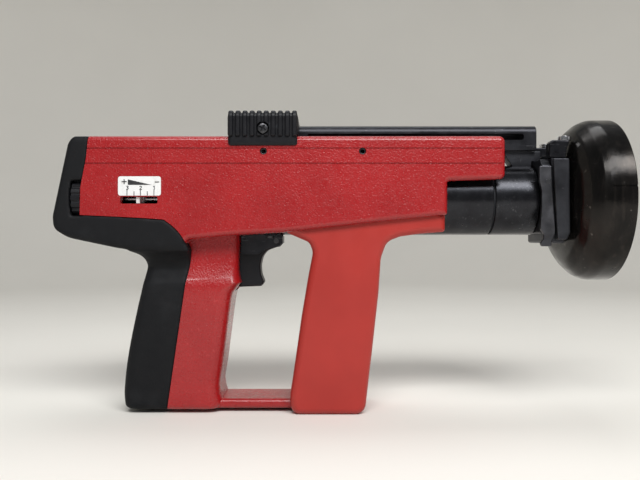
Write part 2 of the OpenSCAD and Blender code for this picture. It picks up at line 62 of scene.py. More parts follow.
# ---- camera
camera_data = bpy.data.cameras.new("camera")
camera_data.lens = 39.4
camera_data.sensor_width = 36.0
camera_data.clip_start = 0.01
camera_data.clip_end = 20.0
camera = bpy.data.objects.new("camera", camera_data)
camera.location = (-0.1802, -0.446, -0.0251)
camera.rotation_euler = (math.pi / 2, 0.0, 0.0)
scene.collection.objects.link(camera)
scene.camera = camera

# ---- main sizes, as in the CAD
CASING_Y = 28.0
CAVITY_Y = 24.5
REAR_CAVITY_Y = 22.0
GRIP_Y = 20.5
GRIP_CAVITY_Y = 14.5
GUARD_Y = 24.0
TOP_Z = 37.3
FOOT_Z = -128.5
BARREL_R = 21.9
WALL = 3.0
SEAM = 0.05
RUBBER_GAP = 0.14
BARREL_GAP = 0.5
PIN_BORE = 1.55
NOSE_BORE = 10.05
SPINDLE_BORE = 2.55
WHEEL_Y = -15.5
TIE_TOP = -122.8
TIE_Y = 16.0
FOOT_SCREW_X = -192.5
KNOB_X = (-235.5, -193.3)
KNOB_RIBS = 10
BAR_X = (-232, -44.7)
BAR_Y = 8.0
CUT_Y = 30.0

# Pivots and fasteners along Y, as X and Z
HANDLE_SCREW = (-214.3, 41.4)
TRIGGER_PIVOT = (-207.5, -25.7)
LATCH_PIVOT = (-43.8, 10)
RIVETS = [(-60.5, 33.5), (-50.0, 33.5)]

# Edge of the red casing against the rubber, from the top down to the foot, as X and Z
RUBBER_LINE = [(-316.7, 37.3), (-319.9, 23.9), (-323.3, 6.3), (-323.7, -10.1),
               (-279.3, -12.4), (-271.6, -14.3), (-264.0, -21.2), (-259.4, -29.7),
               (-259.1, -33.6), (-259.8, -40.9), (-262.0, -51.8), (-274.2, -128.5)]

# Outline of casing and rear bulge together: X, Z and corner radius
BODY = [(-69.2, 37.25, 3.6), (-328.6, 37.25, 3.6), (-331.6, 33.0, 6.0), (-340.9, -11.0, 9.0),
        (-340.2, -18.5, 6.0), (-331.4, -23.8, 20.0), (-302.3, -29.9, 60.0), (-289.0, -31.8, 20.0),
        (-262.8, -31.4, 4.0), (-259.6, -24.9, 2.0), (-231.8, -22.2, 30.0), (-200.6, -20.5, 60.0),
        (-144.0, -14.2, 90.0), (-103.8, -9.9, 1.2), (-103.8, 10.2, 1.6), (-69.2, 11.5, 3.2)]

# Front guard outline: X, Z and corner radius
GUARD = [(-200.7, -20.7, 1.0), (-187.0, -26.6, 5.0), (-184.4, -32.0, 8.0), (-187.4, -47.4, 60.0),
         (-191.4, -71.5, 90.0), (-196.6, -107.7, 90.0), (-198.4, -119.2, 30.0),
         (-197.7, -130.75, 5.6), (-153.0, -130.75, 6.5), (-147.8, -86.0, 200.0),
         (-144.6, -57.1, 90.0), (-143.2, -36.0, 16.0), (-139.6, -26.2, 9.0),
         (-131.6, -23.2, 12.0), (-119.9, -21.5, 40.0), (-104.3, -20.3, 2.0),
         (-104.3, -10.1, 1.0), (-108.0, -7.0, 1.0), (-150.0, -6.0, 1.0), (-199.0, -12.0, 1.0)]

# Grip: height, front X, rear X, half width, front corner radius
GRIP = [(-12.0, -229.9, -286.0, 16.9, 6.0), (-26.0, -230.0, -286.2, 16.8, 6.0),
        (-31.0, -230.1, -286.3, 16.7, 6.0), (-36.0, -230.4, -286.5, 16.8, 6.0),
        (-43.0, -230.6, -287.1, 17.6, 6.0), (-48.0, -229.9, -288.2, 19.0, 6.5),
        (-51.3, -229.0, -288.9, 20.4, 7.0), (-54.0, -231.2, -289.5, 20.5, 7.5),
        (-57.5, -233.9, -290.3, 20.5, 8.0), (-66.0, -235.5, -292.3, 20.5, 8.0),
        (-88.3, -238.4, -296.9, 20.5, 8.0), (-103.6, -240.4, -299.3, 20.5, 8.0),
        (-114.0, -242.0, -300.3, 20.5, 8.0), (-119.0, -241.6, -300.6, 20.5, 8.0),
        (-122.0, -240.6, -300.4, 20.5, 8.0), (-128.5, -240.4, -299.6, 20.5, 8.0)]

# The grip's cavity, as in the CAD
GRIP_CAVITY = [(-234.5, -17), (-234.5, -50), (-238.5, -62), (-245.5, -110), (-246, -121.5),
               (-293, -121.5), (-290, -88.3), (-285.5, -66), (-281, -44), (-281.8, -30),
               (-284, -27), (-289.5, -25.2), (-295, -22.5), (-295, -17)]

# Housing screws: X, Z and the half width of the wall under the head
SCREWS = [(-296, 27, 28), (-236, 27, 28), (-132, 27, 28), (-84, 27, 28),
          (-307, -15, 25), (-250, -85, 20.5), (-285, -88, 17.5), (-253, -118, 20.5)]
CROSS_PINS = [(-214, 28), (-154.8, 28)]

# Rooms inside the casing, as ranges in X, Y and Z
REAR_ROOM = ((-316, -258), (-REAR_CAVITY_Y, REAR_CAVITY_Y), (-19.5, TOP_Z - WALL))


# ---- mesh helpers
def make_object(name, verts, faces, marks=None):
    """Mesh object from points in millimetres; marks gives each face's material index."""
    mesh = bpy.data.meshes.new(name)
    mesh.from_pydata([Vector(v) * MM for v in verts], [], faces)
    if marks:
        mesh.polygons.foreach_set("material_index", marks)
    made = bpy.data.objects.new(name, mesh)
    scene.collection.objects.link(made)
    outward(made)
    return made


def outward(obj):
    """Turns every face outward."""
    bm = bmesh.new()
    bm.from_mesh(obj.data)
    bmesh.ops.recalc_face_normals(bm, faces=bm.faces)
    bm.to_mesh(obj.data)
    bm.free()


def evaluated(obj):
    """Applies the object's modifiers and drops them."""
    graph = bpy.context.evaluated_depsgraph_get()
    old = obj.data
    mesh = bpy.data.meshes.new_from_object(obj.evaluated_get(graph))
    obj.modifiers.clear()
    obj.data = mesh
    mesh.name = obj.name
    if old.users == 0:
        bpy.data.meshes.remove(old)
    return obj


def joined(name, parts):
    """Joins several objects' meshes into one object and removes them."""
    bm = bmesh.new()
    for part in parts:
        bm.from_mesh(part.data)
    mesh = bpy.data.meshes.new(name)
    bm.to_mesh(mesh)
    bm.free()
    made = bpy.data.objects.new(name, mesh)
    scene.collection.objects.link(made)
    for material in parts[0].data.materials:
        mesh.materials.append(material)
    for part in parts:
        bpy.data.objects.remove(part)
    return made


def boolean(obj, other, operation):
    """Exact boolean of two objects; the second is removed."""
    mod = obj.modifiers.new("cut", "BOOLEAN")
    mod.operation = operation
    mod.solver = "EXACT"
    mod.object = other
    mod.use_self = True
    evaluated(obj)
    bpy.data.objects.remove(other)
    return obj


def carve(obj, cutters):
    return boolean(obj, joined("cutter", cutters), "DIFFERENCE")


def add_to(obj, parts):
    for part in parts:
        boolean(obj, part, "UNION")
    return obj


def smooth(obj, angle=32.0, weighted=True):
    """Smooth shading with sharp edges over an angle, and flat faces kept flat."""
    for poly in obj.data.polygons:
        poly.use_smooth = True
    obj.data.set_sharp_from_angle(angle=math.radians(angle))
    if weighted:
        mod = obj.modifiers.new("normals", "WEIGHTED_NORMAL")
        mod.keep_sharp = True
        mod.weight = 80
        evaluated(obj)
    return obj


def signed_area(points):
    total = 0.0
    for (x0, z0), (x1, z1) in zip(points, points[1:] + points[:1]):
        total += x0 * z1 - x1 * z0
    return total / 2


def inset_ring(corners, inset, steps=6):
    """Outline of rounded corners, moved inward; every inset gives the same number of points."""
    flat = [(c[0], c[1]) for c in corners]
    if signed_area(flat) < 0:
        corners = corners[::-1]
        flat = flat[::-1]
    count = len(flat)
    lines = []
    for i in range(count):
        start, end = Vector(flat[i]), Vector(flat[(i + 1) % count])
        along = (end - start).normalized()
        inward = Vector((-along.y, along.x))
        lines.append((start + inward * inset, along))
    moved = []
    for i in range(count):
        (p, d), (q, e) = lines[i - 1], lines[i]
        cross = d.x * e.y - d.y * e.x
        if abs(cross) < 1e-6:
            moved.append(q)
        else:
            t = ((q.x - p.x) * e.y - (q.y - p.y) * e.x) / cross
            moved.append(p + d * t)
    ring = []
    for i in range(count):
        before, here, after = moved[i - 1], moved[i], moved[(i + 1) % count]
        d, e = lines[i - 1][1], lines[i][1]
        turn = math.atan2(d.x * e.y - d.y * e.x, d.dot(e))
        wanted = corners[i][2] - inset if turn > 0 else corners[i][2] + inset
        wanted = max(wanted, 0.02)
        tangent = wanted * abs(math.tan(turn / 2))
        limit = 0.46 * min((here - before).length, (after - here).length)
        tangent = max(min(tangent, limit), 1e-4)
        radius = tangent / max(abs(math.tan(turn / 2)), 1e-6)
        side = 1.0 if turn > 0 else -1.0
        normal = Vector((-d.y, d.x)) * side
        centre = here - d * tangent + normal * radius
        first = here - d * tangent - centre
        for k in range(steps + 1):
            a = turn * k / steps
            ring.append(centre + Vector((first.x * math.cos(a) - first.y * math.sin(a),
                                         first.x * math.sin(a) + first.y * math.cos(a))))
    return ring


def edge_profile(low, high, low_r, high_r, segments=6):
    """Pairs of inset and height for a slab with a rounded edge at each end."""
    rows = []
    for k in range(segments + 1):
        a = math.pi / 2 * k / segments
        rows.append((low_r * (1 - math.sin(a)), low + low_r * (1 - math.cos(a))))
    for k in range(segments + 1):
        a = math.pi / 2 * k / segments
        rows.append((high_r * (1 - math.cos(a)), high - high_r * (1 - math.sin(a))))
    return rows


def place(axis, u, v, w):
    """A point from its two outline coordinates and its height along the axis."""
    if axis == "Y":
        return (u, w, v)
    if axis == "X":
        return (w, u, v)
    return (u, v, w)


def rounded_slab(name, corners, low, high, low_r, high_r, axis="Y", steps=6, segments=6):
    """Plate of a rounded outline between two heights, its edges rounded; edge faces marked 1."""
    rings = edge_profile(low, high, max(low_r, 0.01), max(high_r, 0.01), segments)
    verts, faces, marks = [], [], []
    for inset, height in rings:
        verts += [place(axis, p.x, p.y, height) for p in inset_ring(corners, inset, steps)]
    n = len(verts) // len(rings)
    for r in range(len(rings) - 1):
        edge = 0 if r == segments else 1
        for k in range(n):
            a, b = r * n + k, r * n + (k + 1) % n
            faces.append((a, b, b + n, a + n))
            marks.append(edge)
    faces.append(tuple(range(n - 1, -1, -1)))
    faces.append(tuple(range(len(verts) - n, len(verts))))
    marks += [0, 0]
    return make_object(name, verts, faces, marks)


def plain_slab(name, outline, low, high, axis="Y"):
    """Plate of a plain outline between two heights."""
    n = len(outline)
    verts = [place(axis, p[0], p[1], low) for p in outline]
    verts += [place(axis, p[0], p[1], high) for p in outline]
    faces = [tuple(range(n)), tuple(range(2 * n - 1, n - 1, -1))]
    faces += [(k, n + k, n + (k + 1) % n, (k + 1) % n) for k in range(n)]
    return make_object(name, verts, faces)


def block(x, y, z):
    """Box from its ranges."""
    outline = [(x[0], z[0]), (x[1], z[0]), (x[1], z[1]), (x[0], z[1])]
    return plain_slab("block", outline, y[0], y[1])


def circle(u, v, radius, sides=48):
    return [(u + radius * math.cos(2 * math.pi * k / sides),
             v + radius * math.sin(2 * math.pi * k / sides)) for k in range(sides)]


def rod(axis, low, high, radius, u=0.0, v=0.0, sides=48):
    """Round bar along an axis; u and v are its centre in the other two coordinates."""
    return plain_slab("rod", circle(u, v, radius, sides), low, high, axis)


def lathe(name, section, sides=128):
    """Solid of revolution about the barrel axis from a closed section of X and radius."""
    n = len(section)
    verts = []
    for s in range(sides):
        a = 2 * math.pi * s / sides
        verts += [(x, r * math.cos(a), r * math.sin(a)) for x, r in section]
    faces = []
    for s in range(sides):
        t = (s + 1) % sides
        for k in range(n):
            m = (k + 1) % n
            faces.append((s * n + k, s * n + m, t * n + m, t * n + k))
    return make_object(name, verts, faces)


def rounded_section(section, steps=4):
    """Closed section with its corners rounded: each point is X, radius and corner radius."""
    return [(p.x, p.y) for p in inset_ring(section, 0.0, steps)]


def cad_copy(node, name):
    """Welded copy of a CAD node with its flat faces merged."""
    source = frame["nodes"][node]
    bm = bmesh.new()
    bm.from_mesh(source.data)
    bm.transform(source.matrix_world)
    bmesh.ops.remove_doubles(bm, verts=bm.verts, dist=2e-6)
    bmesh.ops.dissolve_limit(bm, angle_limit=math.radians(0.6), verts=bm.verts, edges=bm.edges)
    mesh = bpy.data.meshes.new(name)
    bm.to_mesh(mesh)
    bm.free()
    made = bpy.data.objects.new(name, mesh)
    scene.collection.objects.link(made)
    return made


def bevelled(obj, width, segments=3, angle=32.0):
    """Rounds the edges over an angle; the new faces get material index 1."""
    mod = obj.modifiers.new("bevel", "BEVEL")
    mod.width = width * MM
    mod.segments = segments
    mod.limit_method = "ANGLE"
    mod.angle_limit = math.radians(angle)
    mod.use_clamp_overlap = True
    mod.material = 1
    mod.miter_outer = "MITER_ARC"
    return evaluated(obj)


def dressed(obj, body, materials, node=None, angle=32.0, weighted=True):
    """Gives a finished piece its materials and shading, puts it under its body and hides the CAD nodes it
    stands for.
    """
    obj.data.materials.clear()
    for material in materials:
        obj.data.materials.append(material)
    if len(materials) == 1:
        for poly in obj.data.polygons:
            poly.material_index = 0
    smooth(obj, angle, weighted)
    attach(obj, body)
    if node:
        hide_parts(*([node] if isinstance(node, str) else node))
    return obj


# ---- materials
class Shade:
    """Small builder for one node material."""

    def __init__(self, name):
        self.material = bpy.data.materials.new(name)
        self.material.use_nodes = True
        self.nodes = self.material.node_tree.nodes
        self.links = self.material.node_tree.links
        self.shader = self.nodes["Principled BSDF"]
        self.place = self.nodes.new("ShaderNodeTexCoord").outputs["Object"]
        self.normal = None

    def put(self, socket, value):
        if hasattr(value, "is_output"):
            self.links.new(value, socket)
        else:
            socket.default_value = value

    def noise(self, scale, detail=3.0, rough=0.55, stretch=None):
        node = self.nodes.new("ShaderNodeTexNoise")
        node.inputs["Scale"].default_value = scale
        node.inputs["Detail"].default_value = detail
        node.inputs["Roughness"].default_value = rough
        self.links.new(self.scaled(stretch), node.inputs["Vector"])
        return node.outputs["Fac"]

    def scaled(self, stretch):
        if not stretch:
            return self.place
        node = self.nodes.new("ShaderNodeMapping")
        node.inputs["Scale"].default_value = stretch
        self.links.new(self.place, node.inputs["Vector"])
        return node.outputs["Vector"]

    def cells(self, scale):
        node = self.nodes.new("ShaderNodeTexVoronoi")
        node.inputs["Scale"].default_value = scale
        self.links.new(self.place, node.inputs["Vector"])
        return node.outputs["Distance"]

    def ramp(self, value, low, high, out_low=0.0, out_high=1.0):
        node = self.nodes.new("ShaderNodeMapRange")
        node.inputs["From Min"].default_value = low
        node.inputs["From Max"].default_value = high
        node.inputs["To Min"].default_value = out_low
        node.inputs["To Max"].default_value = out_high
        self.put(node.inputs["Value"], value)
        return node.outputs["Result"]

    def mix(self, factor, a, b):
        node = self.nodes.new("ShaderNodeMix")
        node.data_type = "RGBA"
        self.put(node.inputs["Factor"], factor)
        self.put(node.inputs[6], colour4(a) if isinstance(a, tuple) else a)
        self.put(node.inputs[7], colour4(b) if isinstance(b, tuple) else b)
        return node.outputs[2]

    def sum(self, a, b, operation="ADD"):
        node = self.nodes.new("ShaderNodeMath")
        node.operation = operation
        self.put(node.inputs[0], a)
        self.put(node.inputs[1], b)
        return node.outputs[0]

    def height(self, value, distance, strength=1.0):
        node = self.nodes.new("ShaderNodeBump")
        node.inputs["Strength"].default_value = strength
        node.inputs["Distance"].default_value = distance
        self.links.new(value, node.inputs["Height"])
        if self.normal is not None:
            self.links.new(self.normal, node.inputs["Normal"])
        self.normal = node.outputs["Normal"]

    def done(self, colour, rough, metal=0.0, coat=0.0, coat_rough=0.1, specular=0.5):
        self.put(self.shader.inputs["Base Color"], colour4(colour) if isinstance(colour, tuple) else colour)
        self.put(self.shader.inputs["Roughness"], rough)
        self.put(self.shader.inputs["Metallic"], metal)
        self.shader.inputs["Coat Weight"].default_value = coat
        self.shader.inputs["Coat Roughness"].default_value = coat_rough
        self.shader.inputs["Specular IOR Level"].default_value = specular
        if self.normal is not None:
            self.links.new(self.normal, self.shader.inputs["Normal"])
        return self.material


def colour4(value):
    return (value[0], value[1], value[2], 1.0)


def red_paint(name, worn=False):
    """Glossy red with a fine hammered grain and painted glints: sparse lighter red flecks in the colour."""
    s = Shade(name)
    grain = s.noise(900, 2.0, 0.5)
    pits = s.cells(1300)
    tone = s.noise(30, 3.0)
    speck = s.ramp(s.noise(460, 1.0), 0.7, 0.76)
    colour = s.mix(s.ramp(tone, 0.35, 0.65), (0.30, 0.0060, 0.0078), (0.35, 0.0085, 0.0105))
    # Painted glints: sparse lighter red flecks mixed into the colour
    colour = s.mix(s.sum(speck, 0.25, "MULTIPLY"), colour, (0.60, 0.07, 0.07))
    if worn:
        chip = s.ramp(s.noise(170, 4.0), 0.64, 0.68)
        colour = s.mix(chip, colour, (0.30, 0.06, 0.05))
    s.height(grain, 0.00042, 1.0)
    s.height(pits, 0.00014, 0.6)
    s.height(s.noise(60, 2.0), 0.0002, 0.25)
    rough = s.ramp(s.noise(240, 3.0), 0.3, 0.7, 0.24, 0.38)
    return s.done(colour, rough, specular=0.35, coat=0.5, coat_rough=0.12)


def satin_red(name):
    """Satin moulding of the front guard."""
    s = Shade(name)
    colour = s.mix(s.ramp(s.noise(24, 3.0), 0.35, 0.65), (0.345, 0.018, 0.012), (0.395, 0.023, 0.016))
    smear = s.noise(90, 5.0, 0.6, (1.0, 1.0, 0.3))
    s.height(s.noise(1500, 2.0), 0.00003, 0.5)
    s.height(s.noise(40, 2.0), 0.0002, 0.2)
    rough = s.ramp(smear, 0.3, 0.7, 0.34, 0.48)
    return s.done(colour, rough)


def rubber(name, tone=0.0055):
    """Matt rubber with a fine grain and dusty smears."""
    s = Shade(name)
    dust = s.ramp(s.noise(45, 6.0, 0.62), 0.52, 0.75)
    colour = s.mix(dust, (tone, tone * 1.05, tone * 1.25), (tone * 2.2, tone * 2.3, tone * 2.6))
    s.height(s.noise(1100, 3.0), 0.00006, 0.8)
    s.height(s.cells(600), 0.00005, 0.35)
    rough = s.ramp(s.noise(120, 4.0), 0.3, 0.7, 0.58, 0.74)
    return s.done(colour, rough, specular=0.2)


def black_plastic(name):
    """Satin black moulding with light scuffs."""
    s = Shade(name)
    scuff = s.ramp(s.noise(260, 5.0, 0.65, (0.4, 1.0, 1.0)), 0.60, 0.72)
    colour = s.mix(scuff, (0.006, 0.006, 0.0078), (0.022, 0.023, 0.029))
    s.height(s.noise(900, 3.0), 0.00005, 0.6)
    rough = s.ramp(s.noise(200, 3.0), 0.3, 0.7, 0.36, 0.5)
    return s.done(colour, rough, specular=0.24)


def dark_steel(name, worn=0.0, tone=0.020, rough_low=0.26, rough_high=0.42, streak=(0.12, 1.0, 1.0)):
    """Black oxide steel; worn raises how much bare metal shows."""
    s = Shade(name)
    fine = s.noise(700, 4.0, 0.6)
    cloud = s.ramp(s.noise(70, 5.0, 0.6), 0.35, 0.7)
    colour = s.mix(cloud, (tone, tone, tone * 1.15), (tone * 1.8, tone * 1.85, tone * 2.1))
    scratch = s.ramp(s.noise(900, 2.0, 0.5, streak), 0.66, 0.72)
    speck = s.ramp(s.noise(420, 2.0), 0.72, 0.75)
    bare = s.sum(s.sum(scratch, 0.16, "MULTIPLY"), s.sum(speck, 0.2, "MULTIPLY"), "MAXIMUM")
    if worn:
        rub = s.ramp(s.noise(150, 4.0, 0.65), 0.62 - worn * 0.3, 0.74 - worn * 0.3)
        bare = s.sum(bare, s.sum(rub, 0.9, "MULTIPLY"), "MAXIMUM")
    colour = s.mix(bare, colour, (0.30, 0.30, 0.31))
    s.height(fine, 0.00003, 0.6)
    s.height(scratch, 0.00003, 0.4)
    rough = s.ramp(cloud, 0.0, 1.0, rough_low, rough_high)
    return s.done(colour, rough, metal=0.85)


def steel(name, colour_a, colour_b, rough_low, rough_high, streak=None, metal=1.0):
    """Bare or phosphated steel."""
    s = Shade(name)
    cloud = s.ramp(s.noise(110, 5.0, 0.6), 0.35, 0.68)
    lines = s.noise(1300, 2.0, 0.5, streak or (1.0, 0.08, 0.08))
    stain = s.ramp(s.noise(330, 4.0), 0.60, 0.70)
    colour = s.mix(cloud, colour_a, colour_b)
    colour = s.mix(s.sum(stain, 0.5, "MULTIPLY"), colour, (0.06, 0.055, 0.05))
    s.height(lines, 0.00002, 0.5)
    s.height(s.noise(300, 3.0), 0.00003, 0.3)
    rough = s.ramp(cloud, 0.0, 1.0, rough_low, rough_high)
    return s.done(colour, rough, metal=metal)


def shield_finish(name):
    """Glossy brown-black steel, worn and speckled, with drawn-down streaks."""
    s = Shade(name)
    cloud = s.ramp(s.noise(38, 5.0, 0.6, (1.0, 1.0, 0.35)), 0.38, 0.66)
    colour = s.mix(cloud, (0.0115, 0.0105, 0.0098), (0.029, 0.025, 0.022))
    streak = s.ramp(s.noise(210, 3.0, 0.55, (1.0, 1.0, 0.12)), 0.56, 0.72)
    colour = s.mix(s.sum(streak, 0.35, "MULTIPLY"), colour, (0.055, 0.046, 0.040))
    speck = s.ramp(s.noise(300, 2.0), 0.70, 0.73)
    rub = s.ramp(s.noise(90, 5.0, 0.65), 0.64, 0.70)
    colour = s.mix(s.sum(s.sum(speck, 0.4, "MULTIPLY"), s.sum(rub, 0.15, "MULTIPLY"), "MAXIMUM"),
                   colour, (0.22, 0.20, 0.18))
    s.height(s.noise(500, 3.0), 0.00004, 0.5)
    s.height(s.noise(50, 3.0), 0.0003, 0.25)
    rough = s.ramp(s.noise(120, 4.0), 0.3, 0.7, 0.13, 0.28)
    return s.done(colour, rough, metal=0.8)


def white_print(name):
    """White printed plate with faint grime."""
    s = Shade(name)
    grime = s.ramp(s.noise(260, 5.0, 0.6), 0.55, 0.75)
    colour = s.mix(s.sum(grime, 0.6, "MULTIPLY"), (0.78, 0.78, 0.77), (0.55, 0.53, 0.50))
    s.height(s.noise(700, 2.0), 0.00002, 0.4)
    return s.done(colour, s.ramp(grime, 0.0, 1.0, 0.35, 0.5))


def ink(name):
    """Black print."""
    s = Shade(name)
    colour = s.mix(s.ramp(s.noise(900, 3.0), 0.4, 0.7), (0.015, 0.015, 0.016), (0.05, 0.05, 0.05))
    s.height(s.noise(1500, 2.0), 0.00001, 0.3)
    return s.done(colour, 0.45)


def pale_floor(name):
    """Pale painted board."""
    s = Shade(name)
    colour = s.mix(s.ramp(s.noise(1.7, 3.0), 0.35, 0.65), (0.78, 0.755, 0.70), (0.81, 0.785, 0.73))
    s.height(s.noise(140, 3.0), 0.0002, 0.15)
    return s.done(colour, s.ramp(s.noise(6, 2.0), 0.3, 0.7, 0.7, 0.85), specular=0.25)


M_RED = red_paint("red_paint")
M_RED_EDGE = red_paint("red_paint_edge", True)
M_GUARD = satin_red("guard_red")
M_RUBBER = rubber("rubber")
M_BUFFER = rubber("buffer_rubber", 0.014)
M_PLASTIC = black_plastic("black_moulding")
M_BLACK = dark_steel("black_steel")
M_BLACK_EDGE = dark_steel("black_steel_edge", 0.55, 0.05)
M_BARREL = dark_steel("barrel_steel", 0.0, 0.018, 0.2, 0.3, (1.0, 0.5, 0.5))
M_HOLDER = dark_steel("holder_steel", 0.0, 0.030, 0.34, 0.46, (1.0, 0.5, 0.1))
M_BAR = dark_steel("bar_steel", 0.0, 0.020, 0.3, 0.46, (0.06, 1.0, 1.0))
M_SHIELD = shield_finish("shield_steel")
M_GREY = steel("grey_steel", (0.10, 0.10, 0.105), (0.17, 0.17, 0.175), 0.36, 0.5)
M_GREY_EDGE = steel("grey_steel_edge", (0.30, 0.30, 0.31), (0.42, 0.42, 0.43), 0.28, 0.4)
M_BRIGHT = steel("ground_steel", (0.46, 0.46, 0.47), (0.60, 0.60, 0.61), 0.2, 0.34)
M_LATCH = steel("latch_steel", (0.060, 0.060, 0.066), (0.10, 0.10, 0.11), 0.34, 0.48)
M_LATCH_EDGE = steel("latch_edge", (0.10, 0.10, 0.11), (0.20, 0.20, 0.21), 0.3, 0.42)
M_SCREW = steel("screw_steel", (0.06, 0.06, 0.065), (0.11, 0.11, 0.115), 0.32, 0.46)
M_SCREW_EDGE = steel("screw_edge", (0.25, 0.25, 0.26), (0.35, 0.35, 0.36), 0.28, 0.4)
M_SPRING = steel("spring_wire", (0.30, 0.30, 0.31), (0.44, 0.44, 0.45), 0.25, 0.36)
M_BRONZE = steel("bronze", (0.16, 0.105, 0.05), (0.22, 0.15, 0.08), 0.34, 0.48)
M_WHITE = white_print("white_plate")
M_INK = ink("black_print")
M_FLOOR = pale_floor("pale_floor")

# ---- CAD nodes kept, with real finishes
FINISH = {
    "buffer_rubber": M_BUFFER, "bright_steel": M_BRIGHT, "spring_steel": M_SPRING,
    "grey_steel": M_GREY, "bearing_bronze": M_BRONZE, "black_steel": M_BLACK,
    "screw_steel": M_SCREW, "black_plastic": M_PLASTIC, "pointer_white": M_WHITE,
    "white_plate": M_WHITE, "red_paint": M_RED, "guard_plastic": M_GUARD,
    "black_rubber": M_RUBBER, "worn_shield": M_SHIELD,
}
SLOT_OF = {row["node"]: row["material_slot"] for row in frame["record"]["subparts"]}
for node, thing in frame["nodes"].items():
    for slot_at in thing.material_slots:
        slot_at.material = FINISH[SLOT_OF[node]] if node != "trigger_pin" else M_SCREW


# ---- casing, grip and rubber
def stacked(name, rings):
    """Closed solid through rings of equal length, from the first to the last."""
    n = len(rings[0])
    verts = [point for ring in rings for point in ring]
    faces = []
    for r in range(len(rings) - 1):
        for k in range(n):
            a, b = r * n + k, r * n + (k + 1) % n
            faces.append((a, b, b + n, a + n))
    faces.append(tuple(range(n)))
    faces.append(tuple(range(len(verts) - 1, len(verts) - n - 1, -1)))
    return make_object(name, verts, faces)


def grip_solid(name):
    """Grip as a stack of rounded sections, its foot's edge rounded."""
    rows = []
    stations = []
    for i in range(len(GRIP) - 1):
        low, high = GRIP[i], GRIP[i + 1]
        pieces = max(1, int(abs(high[0] - low[0]) / 3.0))
        for k in range(pieces):
            stations.append((i, k / pieces))
    stations.append((len(GRIP) - 2, 1.0))

    def catmull(i, t, column):
        p = [GRIP[min(max(j, 0), len(GRIP) - 1)] for j in (i - 1, i, i + 1, i + 2)]
        m1 = (p[2][column] - p[0][column]) / max(abs(p[2][0] - p[0][0]), 1e-6)
        m2 = (p[3][column] - p[1][column]) / max(abs(p[3][0] - p[1][0]), 1e-6)
        span = abs(p[2][0] - p[1][0])
        a, b = p[1][column], p[2][column]
        t2, t3 = t * t, t * t * t
        return ((2 * t3 - 3 * t2 + 1) * a + (t3 - 2 * t2 + t) * span * m1
                + (3 * t2 - 2 * t3) * b + (t3 - t2) * span * m2)

    foot_r = 3.0
    for i, t in stations:
        z = GRIP[i][0] + (GRIP[i + 1][0] - GRIP[i][0]) * t
        values = [catmull(i, t, c) for c in (1, 2, 3, 4)]
        rows.append([z] + values)
    rows = [r for r in rows if r[0] > FOOT_Z + foot_r + 0.2]
    last = rows[-1]
    for k in range(7):
        a = math.pi / 2 * k / 6
        inset = foot_r * (1 - math.cos(a))
        rows.append([FOOT_Z + foot_r * (1 - math.sin(a)), last[1] - inset, last[2] + inset,
                     last[3] - inset, last[4] - inset * 0.8])
    rings = []
    for z, front, rear, half, corner in rows:
        half = min(half, GRIP_Y)
        outline = [(front, -half, corner), (front, half, corner), (rear, half, 6.5), (rear, -half, 6.5)]
        rings.append([(p.x, p.y, z) for p in inset_ring(outline, 0.0, 7)])
    return stacked(name, rings)


def smooth_line(points, first, last, pieces=7):
    """Row of points with the stretch between two of them drawn as a smooth curve."""
    made = points[:first]
    for i in range(first, last):
        p = [Vector(points[min(max(j, first), last)]) for j in (i - 1, i, i + 1, i + 2)]
        for k in range(pieces):
            t = k / pieces
            q = ((p[1] * 2 + (p[2] - p[0]) * t + (p[0] * 2 - p[1] * 5 + p[2] * 4 - p[3]) * t * t
                  + (p[1] * 3 - p[0] - p[2] * 3 + p[3]) * t * t * t) / 2)
            made.append((q.x, q.y))
    return made + points[last:]


def rear_region(name, shift):
    """Slab behind the rubber line, moved back by the seam."""
    curve = smooth_line(RUBBER_LINE, 3, 10)
    line = [(x - shift, z - shift * (0.3 if x < -300 else 1.0)) for x, z in curve]
    line[0] = (line[0][0] + 0.5, 60.0)
    line[-1] = (line[-1][0] - 0.6, -140.0)
    return plain_slab(name, line + [(-360.0, -140.0), (-360.0, 60.0)], -40.0, 40.0)


def envelope(name, with_bar):
    """Outer shape of casing, bulge and grip in one closed mesh."""
    body = rounded_slab(name, BODY, -CASING_Y, CASING_Y, 3.2, 3.2, steps=8, segments=7)
    add_to(body, [grip_solid("grip")])
    if with_bar:
        bar = [(-TIE_Y, FOOT_Z, 2.2), (TIE_Y, FOOT_Z, 2.2), (TIE_Y, TIE_TOP, 2.4), (-TIE_Y, TIE_TOP, 2.4)]
        add_to(body, [rounded_slab("bar", bar, -250.0, -188.0, 0.3, 0.3, axis="X")])
    return body


def housing_cavities():
    both = [
        block((-258, -60), (-CAVITY_Y, CAVITY_Y), (-19, TOP_Z - WALL)),
        block(*REAR_ROOM),
        plain_slab("cavity", GRIP_CAVITY, -GRIP_CAVITY_Y, GRIP_CAVITY_Y),
        rod("X", -246, -60, BARREL_R + BARREL_GAP, sides=96),
        block((-202, -60), (-CAVITY_Y, CAVITY_Y), (-40, 0)),
        block((-248, -60), (-BAR_Y - 0.5, BAR_Y + 0.5), (30, 40)),
        block((-272.1, -258.9), (-9.1, 9.1), (-131, 41)),
        block((-236, -201), (-7.5, 7.5), (-57, -15)),
        rod("X", -330, -310, SPINDLE_BORE, WHEEL_Y, 0.0),
        rod("Z", -140, -118, PIN_BORE, FOOT_SCREW_X, 0.0),
    ]
    both += [rod("Y", -CUT_Y, CUT_Y, 2.15, x, z) for x, z in CROSS_PINS]
    for z in (20.2, 29.2):
        for s in (-1, 1):
            both.append(block((-330, -60), (s * 28.5 - 1.0, s * 28.5 + 1.0), (z, z + 0.9)))
    return both


